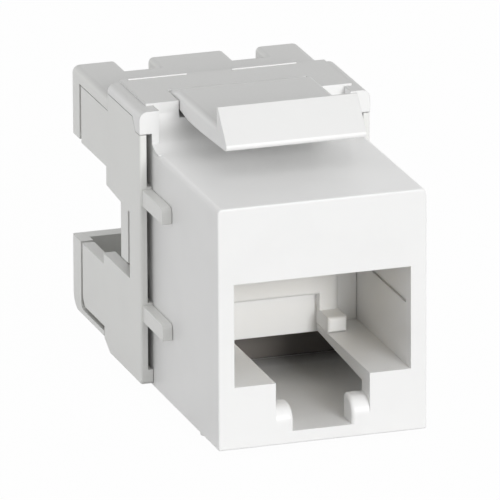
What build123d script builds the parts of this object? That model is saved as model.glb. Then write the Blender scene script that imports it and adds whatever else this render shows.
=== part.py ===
from build123d import *
import os
from math import radians, tan

# Axes: X to the right seen from the plug side, Y into the jack, Z up.
# The model is drawn with Y from the front face and Z from the underside, then set down at the end.

# Port shell
FACE_W = 13.97
FACE_H = 16.1
SHELL_D = 14.9
ROOF_EDGE_R = 0.35
FACE_EDGE_R = 0.12
LINTEL_T = 1.5

# Plug port and the notch for the plug's latch
PORT_W = 11.83
PORT_H = 6.85
PORT_SILL = 4.17
PORT_D = 10.65
NOTCH_W = 6.3
SLOT_W = 3.9
SLOT_SILL = 0.85
SHOULDER_TOP = 2.5
SHOULDER_R = 1.05
SHOULDER_CORNER_R = 0.25
FRONT_WALL_T = 1.6
SHELF_FRONT_T = 0.95
SHELF_REAR_T = 0.45
FLOOR_FALL_START = 2.6
FLOOR_FALL = 0.25
GUIDE_GROOVE_Z = 8.3
GUIDE_GROOVE_W = 0.22
GUIDE_GROOVE_D = 0.15
GUIDE_GROOVE_START = 1.0
GUIDE_GROOVE_END = 7.7

# Rear chamber of the shell
ROOF_T = 1.5
CHAMBER_SLOPE = 1.8

# Fixed hook ridge on the underside
RIDGE_START = 2.85
RIDGE_RUN = 1.65
RIDGE_BACK_RUN = 0.28
RIDGE_DROP = 0.37
RIDGE_INSET = 0.25

# Raised top plate, its side rails and corner posts
PLATE_T = 0.8
PLATE_RUN = 5.45
SWEEP_R = 2.7
RAIL_STEP = 0.15
RAIL_R = 0.55
POST_SETBACK = 1.35
POST_INSET = 0.5
POST_FOOT_DROP = 1.65
POST_FOOT_D = 0.9
POST_FOOT_RUN = 0.6
BEAM_T = 1.85
BEAM_RUN = 3.0
BEAM_FLOOR_T = 0.75
REAR_LIP_H = 0.08
REAR_LIP_D = 0.25
REAR_LIPS_X = [(-6.5, -2.5), (0.6, 5.0)]

# Latch lever
LEVER_W = 9.4
LEVER_ROOT_RUN = 2.4
LEVER_LENGTH = 12.45
LEVER_RISE = 0.55
LEVER_TIP_DROP = 1.15
LEVER_BELLY_DROP = 1.39
LEVER_BELLY_START = 5.65
LEVER_BELLY_L = 2.55
LEVER_HINGE_L = 1.7
LEVER_HINGE_T = 0.95
LEVER_FALL = 0.1
LEVER_EDGE_R = 0.45
LEVER_TIP_R = 0.25
HOOK_RUN = 2.25
HOOK_H = 1.29
HOOK_LAND = 0.15
HOOK_TOP_R = 0.06

# Rear body: wings, snap tabs, snap fingers and bottom plate
WING_W = 0.835
WING_BOTTOM = 0.18
WING_SKIN = 0.46
WING_FRONT_R = 0.15
WING_FOOT_R = 0.3
CUTOUT_START = 0.96
CUTOUT_DROP = 1.78
CUTOUT_SLANT = 0.36
CUTOUT_STEP = 0.45
CUTOUT_BOTTOM = 6.76
LOBE_RUN = 1.2
LOBE_UPPER_STEP = 0.15
WING_RISE_L = 1.4
SNAP_SLIT_W = 0.33
SNAP_W = 1.5
SNAP_END_Z = 7.7
SLOT_START_Z = 1.2
SLOT_BAR_H = 1.6
SLOT_DEPTH = 2.55
TAB_T = 0.65
TAB_H = 1.1
TAB_L = 4.15
TABS_Z = [4.49, 12.34]
TAB_R = 0.4
TAB_BAR_STEP = 0.34
BOTTOM_PLATE_T = 0.42

# Rear caps
CAP_RUN = 7.95
LOWER_CAP_EXTRA = 0.1
CAP_TOP_STEP = 1.13
CAP_SIDE_H = 4.62
CAP_BOTTOM = 0.92
LOWER_CAP_SIDE_H = 5.08
CAP_LIP_T = 0.45
CAP_DECK_T = 0.85
CAP_WALL_T = 1.1
CAP_EDGE_R = 0.5
CAP_CORNER_R = 0.35
CAP_FOOT_R = 1.15
CAP_RIM_L = 1.75
CAP_RIM_R = 0.5
CAP_GROOVE = 0.35
CAP_NOTCH_X = 3.7
CAP_NOTCH_W = 2.2
CAP_NOTCH_L = 2.7
CAP_NOTCH_H = 2.6
WEB_T = 0.8
WEB_GAP = 0.3
FINGER_W = 0.6
FINGER_H = 0.8
FINGER_GAP = 0.2
FINGER_REACH = 1.5

# Wire forks and their block
FORK_X = [-4.7, -2.7, 2.7, 4.7]
FORK_EDGE_GAP = 2.15
FORK_T = 0.5
FORK_W = 1.5
FORK_SINK = 0.25
FORK_SLOT_W = 0.34
FORK_SLOT_L = 2.0
FORK_MOUTH_W = 0.9
FORK_MOUTH_L = 0.5
LEG_W = 0.7
LEG_T = 0.5
LEG_SETBACK = 0.55
BLOCK_GAP = 0.1
BLOCK_D = 4.1
WIRE_SLOT_W = 0.9
WIRE_SLOT_D = 2.5
CORE_WALL = 1.2

# Contact carrier
CARRIER_WALL_T = 1.2
CARRIER_FOOT_DROP = 0.57
COMB_T = 0.53
COMB_FRONT = 1.6
COMB_SLOT_W = 0.62
COMB_SLOT_START = 2.3
COMB_SLOT_STOP = 0.1
FRAME_D = 0.7
FRAME_INSET = 1.41
FRAME_WINDOW_TOP = 6.3
FRAME_R = 0.45
STOP_L = 1.7
STOP_W = 1.3
STOP_H = 1.03
STOP_R = 0.2

# Spring contacts
CONTACT_COUNT = 8
CONTACT_PITCH = 1.02
CONTACT_R = 0.23
CONTACT_SIDES = 12
CONTACT_ROOT_Y = 2.75
CONTACT_DROP = 0.6
CONTACT_BEND_R = 0.4
CONTACT_ANGLE = 24.0
CONTACT_TIP_ROOM = 1.04

# Circuit board
BOARD_T = 1.0
BOARD_FRONT = 1.9
BOARD_INSET = 0.265
BOARD_CORNER = 0.8

# Gaps between pieces
SEAT_GAP = 0.03
SLIDE_GAP = 0.05
FIT_GAP = 0.08

# How far a cut runs past a face, how far joined blocks reach into each other, and what counts as equal
PAST = 1.0
SINK = 0.1
NEAR = 0.01

# Worked-out places across the jack
HALF_FACE = FACE_W / 2
HALF_PORT = PORT_W / 2
HALF_SLOT = SLOT_W / 2
HALF_LEVER = LEVER_W / 2
WING_INNER = HALF_FACE + SEAT_GAP
HALF_REAR = HALF_FACE + WING_W

# Worked-out places along the jack
PLATE_REAR = SHELL_D + PLATE_RUN
POST_FRONT = SHELL_D - POST_SETBACK
POST_STEP = POST_FRONT + POST_FOOT_D
POST_REAR = POST_STEP + POST_FOOT_RUN
LEVER_ROOT = SHELL_D + LEVER_ROOT_RUN
LEVER_TIP = LEVER_ROOT - LEVER_LENGTH
LEVER_HINGE_Y = LEVER_ROOT - LEVER_HINGE_L
HOOK_Y = LEVER_TIP + HOOK_RUN
CUTOUT_FRONT = SHELL_D + CUTOUT_START
CUTOUT_REAR = PLATE_REAR + CUTOUT_STEP
LOBE_START = PLATE_REAR + LOBE_RUN
BLOCK_FRONT = SHELL_D + BLOCK_GAP
BLOCK_REAR = BLOCK_FRONT + BLOCK_D
FORK_TIP = BLOCK_REAR - FORK_SINK
LEG_FRONT = SHELL_D - LEG_SETBACK
BOARD_REAR = LEG_FRONT + LEG_T + SINK
CAP_FRONT = PLATE_REAR + SLIDE_GAP
CAP_REAR = PLATE_REAR + CAP_RUN
LOWER_CAP_REAR = CAP_REAR + LOWER_CAP_EXTRA
CAP_RIM_FRONT = CAP_REAR - CAP_RIM_L
CAP_NOTCH_FRONT = CAP_REAR - CAP_NOTCH_L
WING_REAR = CAP_RIM_FRONT - CAP_GROOVE
WEB_FRONT = BLOCK_REAR + WEB_GAP
WALL_FRONT = PORT_D + SLIDE_GAP
WALL_REAR = WALL_FRONT + CARRIER_WALL_T
FRAME_FRONT = WALL_FRONT - FRAME_D
COMB_SLOT_END = FRAME_FRONT - COMB_SLOT_STOP

# Worked-out heights
PORT_TOP = PORT_SILL + PORT_H
COMB_TOP = PORT_TOP + COMB_T
BOARD_Z = COMB_TOP + SLIDE_GAP
BOARD_TOP = BOARD_Z + BOARD_T
PLATE_TOP = FACE_H + SWEEP_R
PLATE_UNDER = PLATE_TOP - PLATE_T
RAIL_TOP = PLATE_TOP - RAIL_STEP
BEAM_UNDER = PLATE_TOP - BEAM_T
LEVER_WELL = BEAM_UNDER + BEAM_FLOOR_T
POST_FOOT = PLATE_TOP - POST_FOOT_DROP
LEVER_TOP = PLATE_TOP + LEVER_RISE
HOOK_TOP = LEVER_TOP + HOOK_H
CAP_TOP = PLATE_TOP - CAP_TOP_STEP
CAP_UPPER_EDGE = CAP_TOP - CAP_SIDE_H
CAP_LOWER_EDGE = CAP_BOTTOM + LOWER_CAP_SIDE_H
CAP_FLOOR = CAP_BOTTOM + CAP_LIP_T
CUTOUT_TOP = CAP_UPPER_EDGE - CUTOUT_DROP
WING_TOP = PLATE_UNDER - SLIDE_GAP
WING_REAR_TOP = CAP_TOP - CAP_DECK_T - SLIDE_GAP
BOTTOM_PLATE_TOP = WING_BOTTOM + BOTTOM_PLATE_T
BLOCK_TOP = BEAM_UNDER - FIT_GAP
BLOCK_BOTTOM = BOTTOM_PLATE_TOP + SLIDE_GAP
FORK_UPPER_Z = CAP_UPPER_EDGE + FORK_EDGE_GAP
FORK_LOWER_Z = CAP_LOWER_EDGE - FORK_EDGE_GAP

SET_DOWN = Location((0, -LOWER_CAP_REAR / 2, RIDGE_DROP))


def block(x, y, z):
    """A box between three (low, high) pairs."""
    size = [high - low for low, high in (x, y, z)]
    middle = [(high + low) / 2 for low, high in (x, y, z)]
    return Pos(*middle) * Box(*size)


def prism(points, x):
    """A side outline of (y, z) points, drawn out from the first x to the second."""
    outline = Polyline(*[(x[0], y, z) for y, z in points], close=True)
    return extrude(make_face(outline), amount=x[1] - x[0], dir=(1, 0, 0))


def both_sides(piece):
    """A piece and its mirror image across the middle plane."""
    return piece + mirror(piece, about=Plane.YZ)


def edges_at(piece, axis, **place):
    """The straight edges along an axis whose middles have the given X, Y or Z."""
    chosen = piece.edges().filter_by(axis)
    for name, value in place.items():
        chosen = chosen.filter_by(lambda edge: abs(getattr(edge.center(), name) - value) < NEAR)
    return chosen


def port_cuts():
    """The plug port, the latch notch with its two shoulders, and the hollow under the shelves."""
    port = block((-HALF_PORT, HALF_PORT), (-PAST, PORT_D), (PORT_SILL, PORT_TOP))
    notch = block((-NOTCH_W / 2, NOTCH_W / 2), (-PAST, PORT_D), (SHOULDER_TOP, PORT_SILL + SINK))
    slot = block((-HALF_SLOT, HALF_SLOT), (-PAST, FRONT_WALL_T + SINK), (SLOT_SILL, SHOULDER_TOP + SINK))
    hollow = prism(
        [
            (FRONT_WALL_T, SLOT_SILL),
            (FLOOR_FALL_START, SLOT_SILL),
            (SHELL_D + PAST, SLOT_SILL - FLOOR_FALL),
            (SHELL_D + PAST, PORT_SILL - SHELF_REAR_T),
            (PORT_D, PORT_SILL - SHELF_REAR_T),
            (FRONT_WALL_T, PORT_SILL - SHELF_FRONT_T),
        ],
        (-HALF_PORT, HALF_PORT),
    )
    groove = block(
        (HALF_PORT - SINK, HALF_PORT + GUIDE_GROOVE_D),
        (GUIDE_GROOVE_START, GUIDE_GROOVE_END),
        (GUIDE_GROOVE_Z, GUIDE_GROOVE_Z + GUIDE_GROOVE_W),
    )
    return port + notch + slot + hollow + both_sides(groove)


def shell_cuts():
    """The chamber behind the port and the flat space for the comb and the board above it."""
    roof = FACE_H - ROOF_T
    chamber = prism(
        [
            (PORT_D, SLOT_SILL),
            (SHELL_D + SINK, SLOT_SILL),
            (SHELL_D + SINK, roof + CHAMBER_SLOPE),
            (SHELL_D, roof + CHAMBER_SLOPE),
            (SHELL_D - CHAMBER_SLOPE, roof),
            (PORT_D, roof),
        ],
        (-HALF_PORT, HALF_PORT),
    )
    half = HALF_PORT - FIT_GAP
    board_space = block((-half, half), (LINTEL_T, SHELL_D + PAST), (PORT_TOP - SINK, BOARD_TOP + FIT_GAP))
    return chamber + board_space


def rise_behind_latch():
    """The wall that sweeps up from the roof to the top plate in one hollow curve."""
    start = SHELL_D - SWEEP_R
    wall = block((-HALF_FACE, HALF_FACE), (start, SHELL_D), (FACE_H - SINK, PLATE_TOP))
    curve = Pos(0, start, PLATE_TOP) * Rot(0, 90, 0) * Cylinder(SWEEP_R, FACE_W + PAST)
    return wall - curve


def top_plate():
    """The plate behind the latch, with a rounded rail and a corner post on each side."""
    plate = block((-HALF_FACE, HALF_FACE), (SHELL_D - SINK, PLATE_REAR), (PLATE_UNDER, PLATE_TOP))
    beam_y = (SHELL_D - SINK, SHELL_D + BEAM_RUN)
    beam = block((-HALF_FACE, HALF_FACE), beam_y, (BEAM_UNDER, PLATE_UNDER + SINK))
    rail = prism(
        [
            (POST_FRONT, POST_FOOT),
            (POST_STEP, POST_FOOT),
            (POST_REAR, PLATE_UNDER),
            (PLATE_REAR, PLATE_UNDER),
            (PLATE_REAR, RAIL_TOP),
            (POST_FRONT, RAIL_TOP),
        ],
        (HALF_FACE - SINK, HALF_REAR),
    )
    rail = fillet(edges_at(rail, Axis.Y, X=HALF_REAR, Z=RAIL_TOP), RAIL_R)
    post_z = (FACE_H - 2 * ROOF_EDGE_R, RAIL_TOP)
    post = block((HALF_FACE - POST_INSET, HALF_FACE), (POST_FRONT, SHELL_D), post_z)
    lip_y = (PLATE_REAR - REAR_LIP_D, PLATE_REAR)
    lips = [block(x, lip_y, (PLATE_TOP - SINK, PLATE_TOP + REAR_LIP_H)) for x in REAR_LIPS_X]
    return plate + beam + both_sides(rail + post) + lips


def make_front_housing():
    """The moulded port shell with the hook ridge under it and the top plate behind it."""
    shell = block((-HALF_FACE, HALF_FACE), (0, SHELL_D), (0, FACE_H))
    shell = fillet(edges_at(shell, Axis.Y, Z=FACE_H), ROOF_EDGE_R)
    front_edges = shell.faces().sort_by(Axis.Y)[0].edges()
    shell = fillet(front_edges + edges_at(shell, Axis.Y, Z=0), FACE_EDGE_R)
    ridge_half = HALF_FACE - RIDGE_INSET
    ridge_peak = RIDGE_START + RIDGE_RUN
    ridge_points = [
        (RIDGE_START, SINK),
        (RIDGE_START, 0),
        (ridge_peak, -RIDGE_DROP),
        (ridge_peak + RIDGE_BACK_RUN, 0),
        (ridge_peak + RIDGE_BACK_RUN, SINK),
    ]
    ridge = prism(ridge_points, (-ridge_half, ridge_half))
    well_half = HALF_LEVER + SLIDE_GAP
    well_y = (SHELL_D - SWEEP_R, LEVER_ROOT)
    lever_well = block((-well_half, well_half), well_y, (LEVER_WELL, PLATE_TOP + PAST))
    housing = shell + rise_behind_latch() + top_plate() + ridge
    housing = housing - lever_well - port_cuts() - shell_cuts()
    housing = fillet(edges_at(housing, Axis.X, Y=0, Z=SHOULDER_TOP), SHOULDER_R)

    def is_shoulder_corner(edge):
        at = edge.center()
        on_slot = abs(abs(at.X) - HALF_SLOT) < NEAR
        return on_slot and at.Y < FRONT_WALL_T - NEAR and at.Z > SLOT_SILL + NEAR

    return fillet(housing.edges().filter_by(is_shoulder_corner), SHOULDER_CORNER_R)


def make_latch_lever():
    """The springy lever with its wedge-shaped hook."""
    root = LEVER_ROOT - SLIDE_GAP
    hinge_top = LEVER_TOP - LEVER_FALL
    tip_z = LEVER_TOP - LEVER_TIP_DROP
    belly_start = LEVER_TIP + LEVER_BELLY_START
    belly_z = LEVER_TOP - LEVER_BELLY_DROP
    outline = [
        (LEVER_TIP, tip_z),
        (belly_start, belly_z),
        (belly_start + LEVER_BELLY_L, belly_z),
        (LEVER_HINGE_Y, hinge_top - LEVER_HINGE_T),
        (root, PLATE_UNDER),
        (root, PLATE_TOP),
        (LEVER_HINGE_Y, hinge_top),
        (HOOK_Y, LEVER_TOP),
        (HOOK_Y, HOOK_TOP),
        (HOOK_Y - HOOK_LAND, HOOK_TOP),
    ]
    lever = prism(outline, (-HALF_LEVER, HALF_LEVER))

    def is_top_side(edge):
        at = edge.center()
        on_side = abs(abs(at.X) - HALF_LEVER) < NEAR
        return on_side and HOOK_Y + NEAR < at.Y < root - NEAR and at.Z > PLATE_TOP

    lever = fillet(lever.edges().filter_by(is_top_side), LEVER_EDGE_R)
    lever = fillet(edges_at(lever, Axis.X, Y=LEVER_TIP, Z=tip_z), LEVER_TIP_R)
    hook_edges = edges_at(lever, Axis.X, Y=HOOK_Y, Z=HOOK_TOP)
    hook_edges += edges_at(lever, Axis.X, Y=HOOK_Y - HOOK_LAND, Z=HOOK_TOP)
    return fillet(hook_edges, HOOK_TOP_R)


def wing_outline():
    """The left or right wing from the side, from its front foot round to its front top."""
    lobe_front = LOBE_START - SLIDE_GAP
    lobe_upper = CAP_UPPER_EDGE - LOBE_UPPER_STEP
    rim_top = CAP_FLOOR + CAP_GROOVE
    return [
        (POST_FRONT, WING_BOTTOM),
        (lobe_front - WING_RISE_L, WING_BOTTOM),
        (lobe_front, CAP_BOTTOM),
        (lobe_front, rim_top),
        (WING_REAR - CAP_RIM_R, rim_top),
        (WING_REAR, rim_top + CAP_RIM_R),
        (WING_REAR, CAP_LOWER_EDGE),
        (LOBE_START, CAP_LOWER_EDGE),
        (LOBE_START, CUTOUT_BOTTOM),
        (CUTOUT_FRONT, CUTOUT_BOTTOM),
        (CUTOUT_FRONT, CUTOUT_TOP),
        (CUTOUT_REAR, CUTOUT_TOP + CUTOUT_SLANT),
        (CUTOUT_REAR, lobe_upper),
        (WING_REAR, lobe_upper),
        (WING_REAR, WING_REAR_TOP),
        (CAP_FRONT, WING_REAR_TOP),
        (PLATE_REAR, WING_TOP),
        (POST_REAR + SLIDE_GAP, WING_TOP),
        (POST_STEP, POST_FOOT - SLIDE_GAP),
        (POST_FRONT, POST_FOOT - SLIDE_GAP),
    ]


def make_wing():
    """The right wing with the slots in its front edge, its two snap tabs and its snap finger."""
    wing = prism(wing_outline(), (WING_INNER, HALF_REAR))
    wing = fillet(edges_at(wing, Axis.X, Y=POST_FRONT, Z=WING_BOTTOM), WING_FOOT_R)
    wing = fillet(edges_at(wing, Axis.Z, X=HALF_REAR, Y=POST_FRONT), WING_FRONT_R)
    slot_x = (WING_INNER - PAST, HALF_REAR - WING_SKIN)
    slot_y = (POST_FRONT - PAST, POST_FRONT + SLOT_DEPTH)
    slot_start = SLOT_START_Z
    for tab_low in TABS_Z:
        bar_low = tab_low - TAB_BAR_STEP
        wing -= block(slot_x, slot_y, (slot_start, bar_low))
        slot_start = bar_low + SLOT_BAR_H
    wing -= block(slot_x, slot_y, (slot_start, POST_FOOT + PAST))
    tab_front = POST_FRONT - TAB_L
    for tab_low in TABS_Z:
        tab_top = tab_low + TAB_H
        tab = block((WING_INNER, WING_INNER + TAB_T), (tab_front, POST_FRONT + SINK), (tab_low, tab_top))
        wing += fillet(edges_at(tab, Axis.X, Y=tab_front, Z=tab_top), TAB_R)
    snap_front = CUTOUT_FRONT + SNAP_SLIT_W
    snap_z = (SNAP_END_Z, CUTOUT_TOP + SINK)
    return wing + block((WING_INNER, HALF_REAR), (snap_front, snap_front + SNAP_W), snap_z)


def make_rear_body():
    """The two wings, joined underneath by a plate."""
    half = WING_INNER + SINK
    floor_y = (SHELL_D + SLIDE_GAP, LOBE_START - WING_RISE_L)
    return both_sides(make_wing()) + block((-half, half), floor_y, (WING_BOTTOM, BOTTOM_PLATE_TOP))


def make_contact_carrier():
    """The insert: a comb along the port's roof, a rear wall, and a frame with a window and two stops."""
    comb_half = HALF_PORT - FIT_GAP - SLIDE_GAP
    wall_half = HALF_PORT - SEAT_GAP
    frame_half = HALF_PORT - FRAME_INSET
    window_half = NOTCH_W / 2
    frame_foot = PORT_SILL + SEAT_GAP
    wall_z = (PORT_SILL - CARRIER_FOOT_DROP, COMB_TOP)
    wall = block((-wall_half, wall_half), (WALL_FRONT, WALL_REAR), wall_z)
    comb = block((-comb_half, comb_half), (COMB_FRONT, WALL_REAR), (PORT_TOP, COMB_TOP))
    frame = block((-frame_half, frame_half), (FRAME_FRONT, WALL_FRONT), (frame_foot, PORT_TOP))
    frame = fillet(frame.faces().sort_by(Axis.Y)[0].edges().filter_by(Axis.Z), FRAME_R)
    frame -= block((-window_half, window_half), (FRAME_FRONT - PAST, WALL_FRONT), (0, FRAME_WINDOW_TOP))
    frame = fillet(edges_at(frame, Axis.X, Y=FRAME_FRONT, Z=FRAME_WINDOW_TOP), FRAME_R / 2)
    stop_y = (FRAME_FRONT - STOP_L, FRAME_FRONT + SINK)
    stop = block((window_half, window_half + STOP_W), stop_y, (frame_foot, frame_foot + STOP_H))
    stop = fillet(stop.faces().sort_by(Axis.Y)[0].edges(), STOP_R)
    carrier = wall + comb + frame + both_sides(stop)
    for x in contact_places():
        slot_x = (x - COMB_SLOT_W / 2, x + COMB_SLOT_W / 2)
        carrier -= block(slot_x, (COMB_SLOT_START, COMB_SLOT_END), (PORT_TOP - SINK, COMB_TOP + SINK))
    return carrier


def contact_places():
    """The X of each spring wire, from left to right."""
    return [(i - (CONTACT_COUNT - 1) / 2) * CONTACT_PITCH for i in range(CONTACT_COUNT)]


def make_contact(x):
    """One spring wire: a short tail below the board, a bend, and a beam that slopes down to the rear."""
    top = BOARD_Z - FIT_GAP
    corner = top - CONTACT_DROP
    tip_y = FRAME_FRONT - CONTACT_TIP_ROOM
    tip_z = corner - (tip_y - CONTACT_ROOT_Y) * tan(radians(CONTACT_ANGLE))
    path = FilletPolyline(
        (x, CONTACT_ROOT_Y, top), (x, CONTACT_ROOT_Y, corner), (x, tip_y, tip_z), radius=CONTACT_BEND_R
    )
    start = Plane(origin=(x, CONTACT_ROOT_Y, top), z_dir=(0, 0, -1))
    return sweep(start * RegularPolygon(CONTACT_R, CONTACT_SIDES), path=path)


def make_circuit_board():
    """The small board over the port, which joins the spring wires to the forks."""
    half = HALF_PORT - BOARD_INSET
    board = block((-half, half), (BOARD_FRONT, BOARD_REAR), (BOARD_Z, BOARD_TOP))
    return chamfer(board.edges().filter_by(Axis.Z), BOARD_CORNER)


def make_idc_block():
    """The inner moulding that holds the forks, with a slot for each wire."""
    body = block((-HALF_FACE, HALF_FACE), (BLOCK_FRONT, BLOCK_REAR), (BLOCK_BOTTOM, BLOCK_TOP))
    core_half = HALF_FACE - CORE_WALL
    core_y = (BLOCK_FRONT - PAST, BLOCK_REAR - CORE_WALL)
    core_z = (CAP_LOWER_EDGE + CORE_WALL, CAP_UPPER_EDGE - CORE_WALL)
    body -= block((-core_half, core_half), core_y, core_z)
    blade_half = FORK_W / 2 + SLIDE_GAP
    blade_y = (BLOCK_FRONT - PAST, BLOCK_REAR + PAST)
    wire_half = WIRE_SLOT_W / 2
    wire_y = (BLOCK_REAR - WIRE_SLOT_D, BLOCK_REAR + PAST)
    for x in FORK_X:
        body -= block((x - wire_half, x + wire_half), wire_y, (CAP_UPPER_EDGE, BLOCK_TOP + PAST))
        body -= block((x - wire_half, x + wire_half), wire_y, (BLOCK_BOTTOM - PAST, CAP_LOWER_EDGE))
        for z in (FORK_UPPER_Z, FORK_LOWER_Z):
            blade_z = (z - FORK_T / 2 - SLIDE_GAP, z + FORK_T / 2 + SLIDE_GAP)
            body -= block((x - blade_half, x + blade_half), blade_y, blade_z)
    return body


def make_fork(x, z, board_face):
    """One forked contact: a flat two-pronged blade towards the rear and a leg to the board."""
    half, slot, mouth = FORK_W / 2, FORK_SLOT_W / 2, FORK_MOUTH_W / 2
    throat = FORK_TIP - FORK_SLOT_L
    flare = FORK_TIP - FORK_MOUTH_L
    outline = Polyline(
        (x - half, LEG_FRONT),
        (x + half, LEG_FRONT),
        (x + half, FORK_TIP),
        (x + mouth, FORK_TIP),
        (x + slot, flare),
        (x + slot, throat),
        (x - slot, throat),
        (x - slot, flare),
        (x - mouth, FORK_TIP),
        (x - half, FORK_TIP),
        close=True,
    )
    blade = Pos(0, 0, z - FORK_T / 2) * extrude(make_face(outline), amount=FORK_T)
    leg_z = sorted((z, board_face))
    leg = block((x - LEG_W / 2, x + LEG_W / 2), (LEG_FRONT, LEG_FRONT + LEG_T), leg_z)
    return blade + leg


def cap_fingers(fork_z):
    """The pairs of fingers that press the wires into one row of forks."""
    reach = FORK_T / 2 + FINGER_GAP
    finger_y = (BLOCK_REAR - FINGER_REACH, WEB_FRONT + SINK)
    fingers = []
    for x in FORK_X:
        finger_x = (x - FINGER_W / 2, x + FINGER_W / 2)
        fingers.append(block(finger_x, finger_y, (fork_z + reach, fork_z + reach + FINGER_H)))
        fingers.append(block(finger_x, finger_y, (fork_z - reach - FINGER_H, fork_z - reach)))
    return fingers


def cut_notches(cap, rear, z):
    """A cap with its two wire notches, rounded where they meet its rear face."""
    notch_x = (CAP_NOTCH_X - CAP_NOTCH_W / 2, CAP_NOTCH_X + CAP_NOTCH_W / 2)
    cap -= both_sides(block(notch_x, (CAP_NOTCH_FRONT, rear + PAST), z))

    def is_notch_corner(edge):
        at = edge.center()
        on_side = min(abs(abs(at.X) - x) for x in notch_x) < NEAR
        return on_side and abs(at.Y - rear) < NEAR

    return fillet(cap.edges().filter_by(Axis.Z).filter_by(is_notch_corner), CAP_CORNER_R)


def make_upper_cap():
    """The cover at the top rear: rounded along its sides, with its rear edge notched for the wires."""
    inner = WING_INNER - SLIDE_GAP
    deck_under = CAP_TOP - CAP_DECK_T
    below = CAP_UPPER_EDGE - PAST
    outline = block((-HALF_REAR, HALF_REAR), (CAP_FRONT, CAP_REAR), (CAP_UPPER_EDGE, CAP_TOP))
    outline = fillet(edges_at(outline, Axis.Y, Z=CAP_TOP), CAP_EDGE_R)
    outline = fillet(outline.faces().sort_by(Axis.Y)[-1].edges(), CAP_CORNER_R)
    hollow = block((-inner, inner), (CAP_FRONT - PAST, CAP_REAR - CAP_WALL_T), (below, deck_under))
    wing_y = (CAP_FRONT - PAST, CAP_RIM_FRONT)
    wing_space = block((inner - SINK, HALF_REAR + PAST), wing_y, (below, deck_under))
    cap = outline - hollow - both_sides(wing_space)
    cap = cut_notches(cap, CAP_REAR, (CAP_TOP - CAP_NOTCH_H, CAP_TOP + PAST))
    web_z = (CAP_UPPER_EDGE + SLIDE_GAP, deck_under + SINK)
    web = block((-inner, inner), (WEB_FRONT, WEB_FRONT + WEB_T), web_z)
    deck = block((-inner, inner), (WEB_FRONT, CAP_FRONT + SINK), (deck_under, deck_under + CAP_LIP_T))
    return cap + web + deck + cap_fingers(FORK_UPPER_Z)


def make_lower_cap():
    """The cover at the bottom rear, whose rim wraps round the ends of the wings."""
    inner = WING_INNER - SLIDE_GAP
    above = CAP_LOWER_EDGE + PAST
    outline = block((-HALF_REAR, HALF_REAR), (LOBE_START, LOWER_CAP_REAR), (CAP_BOTTOM, CAP_LOWER_EDGE))
    outline = fillet(edges_at(outline, Axis.X, Y=LOWER_CAP_REAR, Z=CAP_BOTTOM), CAP_FOOT_R)
    outline = fillet(outline.faces().sort_by(Axis.Y)[-1].edges().filter_by(Axis.Z), CAP_CORNER_R / 2)
    hollow = block((-inner, inner), (LOBE_START - PAST, LOWER_CAP_REAR - CAP_WALL_T), (CAP_FLOOR, above))
    wing_y = (LOBE_START - PAST, CAP_RIM_FRONT)
    wing_space = block((inner - SINK, HALF_REAR + PAST), wing_y, (CAP_FLOOR, above))
    wing_space = fillet(edges_at(wing_space, Axis.X, Y=CAP_RIM_FRONT, Z=CAP_FLOOR), CAP_RIM_R)
    cap = outline - hollow - both_sides(wing_space)
    cap = cut_notches(cap, LOWER_CAP_REAR, (CAP_BOTTOM - PAST, CAP_BOTTOM + CAP_NOTCH_H))
    web_z = (CAP_FLOOR, CAP_LOWER_EDGE - SLIDE_GAP)
    web = block((-inner, inner), (WEB_FRONT, WEB_FRONT + WEB_T), web_z)
    deck = block((-inner, inner), (WEB_FRONT, LOBE_START + CAP_WALL_T), (CAP_FLOOR, CAP_FLOOR + CAP_LIP_T))
    return cap + web + deck + cap_fingers(FORK_LOWER_Z)


def make_pieces():
    """Every piece by its name."""
    pieces = {
        "front_housing": make_front_housing(),
        "latch_lever": make_latch_lever(),
        "contact_carrier": make_contact_carrier(),
        "circuit_board": make_circuit_board(),
        "idc_block": make_idc_block(),
        "rear_body": make_rear_body(),
        "upper_cap": make_upper_cap(),
        "lower_cap": make_lower_cap(),
    }
    for number, x in enumerate(contact_places(), 1):
        pieces[f"contact_{number}"] = make_contact(x)
    rows = [(FORK_UPPER_Z, BOARD_TOP + SEAT_GAP), (FORK_LOWER_Z, BOARD_Z - SEAT_GAP)]
    places = [(x, z, board_face) for z, board_face in rows for x in FORK_X]
    for number, place in enumerate(places, 1):
        pieces[f"idc_{number}"] = make_fork(*place)
    return pieces


os.makedirs("parts", exist_ok=True)
for name, piece in make_pieces().items():
    export_step(SET_DOWN * piece, f"parts/{name}.step")
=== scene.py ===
from math import cos, sin

import bpy
from mathutils import Matrix, Vector


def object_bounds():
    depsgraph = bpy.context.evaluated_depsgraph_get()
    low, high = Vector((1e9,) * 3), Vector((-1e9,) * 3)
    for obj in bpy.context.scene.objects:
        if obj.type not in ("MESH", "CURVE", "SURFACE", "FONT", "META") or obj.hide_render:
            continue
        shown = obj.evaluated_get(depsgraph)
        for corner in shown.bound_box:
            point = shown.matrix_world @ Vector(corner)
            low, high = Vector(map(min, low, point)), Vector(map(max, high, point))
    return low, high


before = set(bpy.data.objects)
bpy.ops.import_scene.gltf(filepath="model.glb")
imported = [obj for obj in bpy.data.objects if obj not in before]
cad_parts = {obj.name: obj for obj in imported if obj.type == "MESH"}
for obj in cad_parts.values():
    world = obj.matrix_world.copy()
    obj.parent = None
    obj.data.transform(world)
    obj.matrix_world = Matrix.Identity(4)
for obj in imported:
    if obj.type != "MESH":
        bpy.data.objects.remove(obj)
CAD_BOX = [list(corner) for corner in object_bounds()]
MM = 0.001
FULL = (0.0, 1.0)

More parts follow.
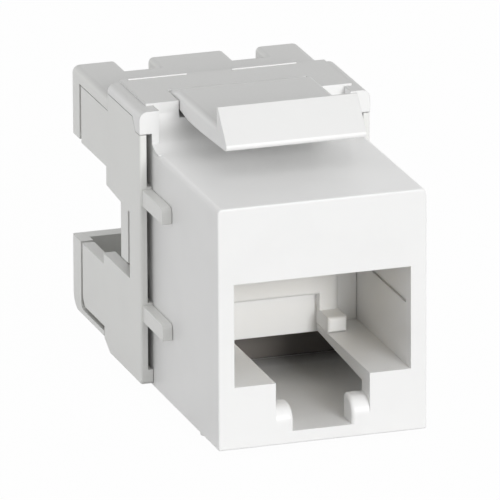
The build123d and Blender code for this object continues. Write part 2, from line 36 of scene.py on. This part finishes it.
# Camera, from the jack's edges in the photograph. Angles are in radians and lengths in metres,
# but the lens and its sensor are in millimetres.
AZIMUTH = -0.317211
ELEVATION = 0.314558
ROLL = -0.0045
CAMERA_DISTANCE = 0.64
CLIP_NEAR = 0.01
CLIP_FAR = 5.0
LENS = 720.0
SENSOR_WIDTH = 36.0
LOOK_AT = Vector((0, -8.2, 8.37)) * MM
LOOK_LEFT = 2.729 * MM
LOOK_UP = 2.765 * MM

# Plastic colours
WHITE = (0.87, 0.87, 0.865, 1)
BODY_WHITE = (0.83, 0.832, 0.812, 1)
# The insert's white is lighter than the housing's: painted light on its panel deep in the port.
INSERT_LIT_WHITE = (0.95, 0.95, 0.94, 1)
BLOCK_GREY = (0.3, 0.29, 0.28, 1)
# The next two colours are painted shade: the one tight crevices are darkened towards, and the one for deep hollows
# and the latch channel's end.
CREVICE_SHADE = (0.42, 0.415, 0.405, 1)
DEEP_SHADE = (0.1, 0.078, 0.056, 1)

# Plastic clouding: the noise that shows it, and how far it darkens the base
CLOUD_SCALE = 260.0
CLOUD_DETAIL = 3.0
CLOUD_NOISE = (0.45, 0.75)
CLOUD_SHARE = (0.0, 0.35)
CLOUD_SHADE = 0.94

# Plastic grain: how it varies the roughness, and its bump
GRAIN_SCALE = 5200.0
GRAIN_DETAIL = 2.0
GRAIN_SMOOTHER = 0.07
GRAIN_ROUGHER = 0.09
GRAIN_STRENGTH = 0.2
GRAIN_DEPTH = 0.006 * MM

# Softened edges, and painted shade in the tight gaps and hollows.
# Openness runs from 0, shut in, to 1, in the open.
EDGE_SOFTNESS = 0.06 * MM
EDGE_SAMPLES = 4
OPENNESS_SAMPLES = 8
CREVICE_SHADE_REACH = 1.2 * MM
CREVICE_SHADE_OPENNESS = (0.1, 0.5)
CREVICE_SHADE_SHARE = (0.3, 0.0)
HOLLOW_SHADE_REACH = 7.0 * MM
HOLLOW_SHADE_OPENNESS = (0.05, 0.5)

# Painted shade that makes the top faces of the plate, the lever and the caps greyer.
# Each pair is where the grey is none and where it is full, by height and by how far a face looks up.
UPPER_SHADE_GREY = (0.6, 0.6, 0.59, 1)
UPPER_SHADE_HEIGHTS = (16.8 * MM, 17.4 * MM)
UPPER_SHADE_FACING = (0.5, 0.95)

# Painted shade in the latch channel under the port, which gets darker towards its end.
# Each pair is where the darkening is none and where it is full. CHANNEL_END cuts it off before it is full, so that
# the faces behind the channel's end stay clear. CHANNEL_ASIDE, by how far a face looks to the side, does so for
# the side walls.
CHANNEL_Y = (-1.1 * MM, 2.3 * MM)
CHANNEL_END = (1.3 * MM, 1.2 * MM)
CHANNEL_FLOOR = (0.8 * MM, 0.9 * MM)
CHANNEL_TOP = (3.98 * MM, 3.9 * MM)
CHANNEL_ASIDE = (0.6, 0.4)

# Metals
WIRE_COUNT = 8
GOLD = (0.9, 0.66, 0.25)
TIN = (0.78, 0.77, 0.74)
WEAR_SCALE = 1800.0
WEAR_DETAIL = 3.0
WEAR_SHADE = 0.75
WEAR_SMOOTHER = 0.08
WEAR_ROUGHER = 0.12

# Circuit board
BOARD_THREAD = (0.03, 0.16, 0.07, 1)
BOARD_THREAD_LIGHT = (0.035, 0.19, 0.085, 1)
BOARD_GAP = (0.025, 0.13, 0.06, 1)
BOARD_ROUGHNESS = 0.35
WEAVE_SCALE = 1500.0
WEAVE_STRENGTH = 0.2
WEAVE_DEPTH = 0.01 * MM

# Light. Each direction points from the jack to the lamp, and each angle is how wide the lamp looks.
WORLD_LIGHT = 0.5
KEY_DIRECTION = Vector((0.2, -1.0, 0.32))
KEY_STRENGTH = 1.48
KEY_ANGLE = 0.35
FILL_DIRECTION = Vector((-1.0, 0.15, 0.15))
FILL_STRENGTH = 0.53
FILL_ANGLE = 0.8
TOP_DIRECTION = Vector((0.05, -0.6, 1.0))
TOP_STRENGTH = 0.36
TOP_ANGLE = 0.8

# Floor and background
PURE_WHITE = (1, 1, 1, 1)
FLOOR_GREY = (0.6, 0.6, 0.6, 1)
FLOOR_ROUGHNESS = 0.7
FLOOR_GLOW_SHARE = 0.98
FLOOR_DROP = 0.02 * MM
FLOOR_HALF = 0.6


def add(tree, kind, inputs=None, **settings):
    """A new shader node, with its settings and its inputs.

    An input that is given an output is linked to it.
    """
    made = tree.nodes.new(kind)
    for name, value in settings.items():
        setattr(made, name, value)
    for name, value in (inputs or {}).items():
        if isinstance(value, bpy.types.NodeSocket):
            tree.links.new(value, made.inputs[name])
        else:
            made.inputs[name].default_value = value
    return made


def noise(tree, place, scale, detail):
    """How strong a cloudy pattern is at each place."""
    inputs = {"Vector": place, "Scale": scale, "Detail": detail}
    return add(tree, "ShaderNodeTexNoise", inputs).outputs["Fac"]


def remap(tree, value, old, new):
    """A value carried over from one (low, high) range to another, and held inside it."""
    inputs = {
        "Value": value,
        "From Min": old[0],
        "From Max": old[1],
        "To Min": new[0],
        "To Max": new[1],
    }
    return add(tree, "ShaderNodeMapRange", inputs).outputs["Result"]


def blend(tree, share, first, second):
    """The first colour, with a share of the second."""
    inputs = {"Factor": share, "A": first, "B": second}
    return add(tree, "ShaderNodeMix", inputs, data_type="RGBA").outputs["Result"]


def openness(tree, reach):
    """How open a place is within a reach: 1 in the open, 0 at the bottom of a tight gap."""
    inputs = {"Distance": reach}
    return add(tree, "ShaderNodeAmbientOcclusion", inputs, samples=OPENNESS_SAMPLES).outputs["AO"]


def calculate(tree, operation, *values):
    """The result of an operation on one or two values."""
    return add(tree, "ShaderNodeMath", dict(enumerate(values)), operation=operation).outputs["Value"]


def parts_of(tree, vector):
    """The X, Y and Z outputs of a vector."""
    return add(tree, "ShaderNodeSeparateXYZ", {0: vector}).outputs


def facing(tree):
    """The X, Y and Z outputs of the direction a face looks in."""
    return parts_of(tree, add(tree, "ShaderNodeNewGeometry").outputs["Normal"])


def channel_shade(tree, place):
    """How much painted shade a place in the latch channel gets: 0 at the mouth and outside, and more towards the
    end.
    """
    at = parts_of(tree, place)
    aside = calculate(tree, "ABSOLUTE", facing(tree)["X"])
    depth = remap(tree, at["Y"], CHANNEL_Y, FULL)
    limits = (
        (aside, CHANNEL_ASIDE),
        (at["Y"], CHANNEL_END),
        (at["Z"], CHANNEL_FLOOR),
        (at["Z"], CHANNEL_TOP),
    )
    for value, old in limits:
        depth = calculate(tree, "MULTIPLY", depth, remap(tree, value, old, FULL))
    return depth


def upper_shade(tree, place):
    """Where the top faces get painted shade: 1 on the faces that look up from the highest level of the jack, 0
    elsewhere.
    """
    high = remap(tree, parts_of(tree, place)["Z"], UPPER_SHADE_HEIGHTS, FULL)
    return calculate(tree, "MULTIPLY", high, remap(tree, facing(tree)["Z"], UPPER_SHADE_FACING, FULL))


def new_surface(name):
    """A new material, with its node tree, its main shader and the place on the object."""
    material = bpy.data.materials.new(name)
    material.use_nodes = True
    tree = material.node_tree
    place = add(tree, "ShaderNodeTexCoord").outputs["Object"]
    return material, tree, tree.nodes["Principled BSDF"], place


def moulded_plastic(name, base, roughness, has_channel_shade=False, hollow_shade=0.0):
    """Moulded plastic: faint clouding, fine grain, soft edges, and painted shade in crevices, hollows, top faces
    and the latch channel.
    """
    material, tree, shader, place = new_surface(name)
    link = tree.links.new
    cloud = remap(tree, noise(tree, place, CLOUD_SCALE, CLOUD_DETAIL), CLOUD_NOISE, CLOUD_SHARE)
    tone = blend(tree, cloud, base, (*[part * CLOUD_SHADE for part in base[:3]], 1))
    # Painted shade in tight crevices.
    crevice_shade = remap(tree, openness(tree, CREVICE_SHADE_REACH), CREVICE_SHADE_OPENNESS, CREVICE_SHADE_SHARE)
    tone = blend(tree, crevice_shade, tone, CREVICE_SHADE)
    # Painted shade in deep hollows.
    if hollow_shade:
        painted_hollow_shade = remap(tree, openness(tree, HOLLOW_SHADE_REACH), HOLLOW_SHADE_OPENNESS, (hollow_shade, 0.0))
        tone = blend(tree, painted_hollow_shade, tone, DEEP_SHADE)
    # Painted shade on the top faces.
    tone = blend(tree, upper_shade(tree, place), tone, UPPER_SHADE_GREY)
    # Painted shade towards the end of the latch channel.
    if has_channel_shade:
        tone = blend(tree, channel_shade(tree, place), tone, DEEP_SHADE)
    link(tone, shader.inputs["Base Color"])
    grain = noise(tree, place, GRAIN_SCALE, GRAIN_DETAIL)
    gloss = remap(tree, grain, FULL, (roughness - GRAIN_SMOOTHER, roughness + GRAIN_ROUGHER))
    link(gloss, shader.inputs["Roughness"])
    inputs = {"Radius": EDGE_SOFTNESS}
    edges = add(tree, "ShaderNodeBevel", inputs, samples=EDGE_SAMPLES).outputs["Normal"]
    inputs = {"Strength": GRAIN_STRENGTH, "Distance": GRAIN_DEPTH, "Height": grain, "Normal": edges}
    link(add(tree, "ShaderNodeBump", inputs).outputs["Normal"], shader.inputs["Normal"])
    return material


def metal(name, colour, roughness):
    """Plated metal with fine worn patches."""
    material, tree, shader, place = new_surface(name)
    shader.inputs["Metallic"].default_value = 1.0
    wear = noise(tree, place, WEAR_SCALE, WEAR_DETAIL)
    worn = [part * WEAR_SHADE for part in colour]
    tree.links.new(blend(tree, wear, (*colour, 1), (*worn, 1)), shader.inputs["Base Color"])
    gloss = remap(tree, wear, FULL, (roughness - WEAR_SMOOTHER, roughness + WEAR_ROUGHER))
    tree.links.new(gloss, shader.inputs["Roughness"])
    return material


def board_material():
    """Green solder mask with a faint weave under it."""
    material, tree, shader, place = new_surface("solder_mask")
    shader.inputs["Roughness"].default_value = BOARD_ROUGHNESS
    inputs = {
        "Vector": place,
        "Color1": BOARD_THREAD,
        "Color2": BOARD_THREAD_LIGHT,
        "Mortar": BOARD_GAP,
        "Scale": WEAVE_SCALE,
    }
    weave = add(tree, "ShaderNodeTexBrick", inputs)
    tree.links.new(weave.outputs["Color"], shader.inputs["Base Color"])
    inputs = {"Strength": WEAVE_STRENGTH, "Distance": WEAVE_DEPTH, "Height": weave.outputs["Fac"]}
    bump = add(tree, "ShaderNodeBump", inputs)
    tree.links.new(bump.outputs["Normal"], shader.inputs["Normal"])
    return material


def paint(material, *names):
    """Gives CAD nodes their material."""
    for name in names:
        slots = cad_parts[name].data.materials
        slots.clear()
        slots.append(material)


def finish_surfaces():
    """Paints every piece."""
    # The housing and the block get painted shade towards the end of the latch channel.
    housing = moulded_plastic("housing_white", WHITE, roughness=0.36, has_channel_shade=True)
    body = moulded_plastic("body_white", BODY_WHITE, roughness=0.38)
    # The caps get painted shade in their hollows.
    cap = moulded_plastic("cap_white", BODY_WHITE, roughness=0.38, hollow_shade=0.5)
    # The insert's lighter white is painted light.
    insert = moulded_plastic("insert_lit_white", INSERT_LIT_WHITE, roughness=0.45)
    block = moulded_plastic("block_grey", BLOCK_GREY, roughness=0.5, has_channel_shade=True)
    paint(housing, "front_housing", "latch_lever")
    paint(cap, "upper_cap", "lower_cap")
    paint(body, "rear_body")
    paint(insert, "contact_carrier")
    paint(block, "idc_block")
    paint(board_material(), "circuit_board")
    numbers = range(1, WIRE_COUNT + 1)
    gold = metal("gold_plate", GOLD, roughness=0.25)
    tin = metal("tin_plate", TIN, roughness=0.3)
    paint(gold, *[f"contact_{number}" for number in numbers])
    paint(tin, *[f"idc_{number}" for number in numbers])


def seen_directly(tree):
    """1 where the camera, a mirror image or glass looks at a surface, 0 for light that falls on it."""
    path = add(tree, "ShaderNodeLightPath").outputs
    seen = calculate(tree, "MAXIMUM", path["Is Camera Ray"], path["Is Glossy Ray"])
    return calculate(tree, "MAXIMUM", seen, path["Is Transmission Ray"])


def make_floor():
    """A plain pale floor, white where it is seen directly, that still takes the jack's shadow."""
    mesh = bpy.data.meshes.new("floor")
    low = CAD_BOX[0][2] - FLOOR_DROP
    corners = [(-1, -1), (1, -1), (1, 1), (-1, 1)]
    mesh.from_pydata([(x * FLOOR_HALF, y * FLOOR_HALF, low) for x, y in corners], [], [(0, 1, 2, 3)])
    floor = bpy.data.objects.new("floor", mesh)
    bpy.context.scene.collection.objects.link(floor)
    material = bpy.data.materials.new("pale_floor")
    material.use_nodes = True
    tree = material.node_tree
    shader = tree.nodes["Principled BSDF"]
    shader.inputs["Base Color"].default_value = FLOOR_GREY
    shader.inputs["Roughness"].default_value = FLOOR_ROUGHNESS
    glow = add(tree, "ShaderNodeEmission", {"Color": PURE_WHITE, "Strength": 1.0})
    share = calculate(tree, "MULTIPLY", seen_directly(tree), FLOOR_GLOW_SHARE)
    inputs = {"Fac": share, 1: shader.outputs["BSDF"], 2: glow.outputs["Emission"]}
    mix = add(tree, "ShaderNodeMixShader", inputs)
    tree.links.new(mix.outputs["Shader"], tree.nodes["Material Output"].inputs["Surface"])
    mesh.materials.append(material)


def make_world():
    """Soft light from all round, and white where it is seen directly."""
    world = bpy.data.worlds.new("studio")
    bpy.context.scene.world = world
    world.use_nodes = True
    tree = world.node_tree
    soft = tree.nodes["Background"]
    soft.inputs["Color"].default_value = PURE_WHITE
    soft.inputs["Strength"].default_value = WORLD_LIGHT
    white = add(tree, "ShaderNodeBackground", {"Color": PURE_WHITE, "Strength": 1.0})
    inputs = {"Fac": seen_directly(tree), 1: soft.outputs["Background"], 2: white.outputs["Background"]}
    mix = add(tree, "ShaderNodeMixShader", inputs)
    tree.links.new(mix.outputs["Shader"], tree.nodes["World Output"].inputs["Surface"])


def make_sun(name, direction, strength, angle):
    """A soft far light that shines from one direction."""
    data = bpy.data.lights.new(name, "SUN")
    data.energy = strength
    data.angle = angle
    lamp = bpy.data.objects.new(name, data)
    lamp.rotation_euler = direction.to_track_quat("Z", "Y").to_euler()
    bpy.context.scene.collection.objects.link(lamp)


def make_camera():
    """The photograph's camera."""
    level = Vector((cos(AZIMUTH), sin(AZIMUTH), 0))
    ahead = Vector((-sin(AZIMUTH), cos(AZIMUTH), 0))
    rise = ahead * sin(ELEVATION) + Vector((0, 0, cos(ELEVATION)))
    back = level.cross(rise)
    right = level * cos(ROLL) + rise * sin(ROLL)
    up = rise * cos(ROLL) - level * sin(ROLL)
    aim = LOOK_AT - LOOK_LEFT * level + LOOK_UP * rise
    data = bpy.data.cameras.new("camera")
    data.lens = LENS
    data.sensor_width = SENSOR_WIDTH
    data.clip_start = CLIP_NEAR
    data.clip_end = CLIP_FAR
    camera = bpy.data.objects.new("camera", data)
    turn = Matrix((right, up, back)).transposed().to_4x4()
    camera.matrix_world = Matrix.Translation(aim + CAMERA_DISTANCE * back) @ turn
    bpy.context.scene.collection.objects.link(camera)
    bpy.context.scene.camera = camera


finish_surfaces()
make_floor()
make_world()
make_sun("key", KEY_DIRECTION, KEY_STRENGTH, KEY_ANGLE)
make_sun("fill", FILL_DIRECTION, FILL_STRENGTH, FILL_ANGLE)
make_sun("top", TOP_DIRECTION, TOP_STRENGTH, TOP_ANGLE)
make_camera()
bpy.context.scene.view_settings.view_transform = "Standard"

bpy.context.view_layer.update()
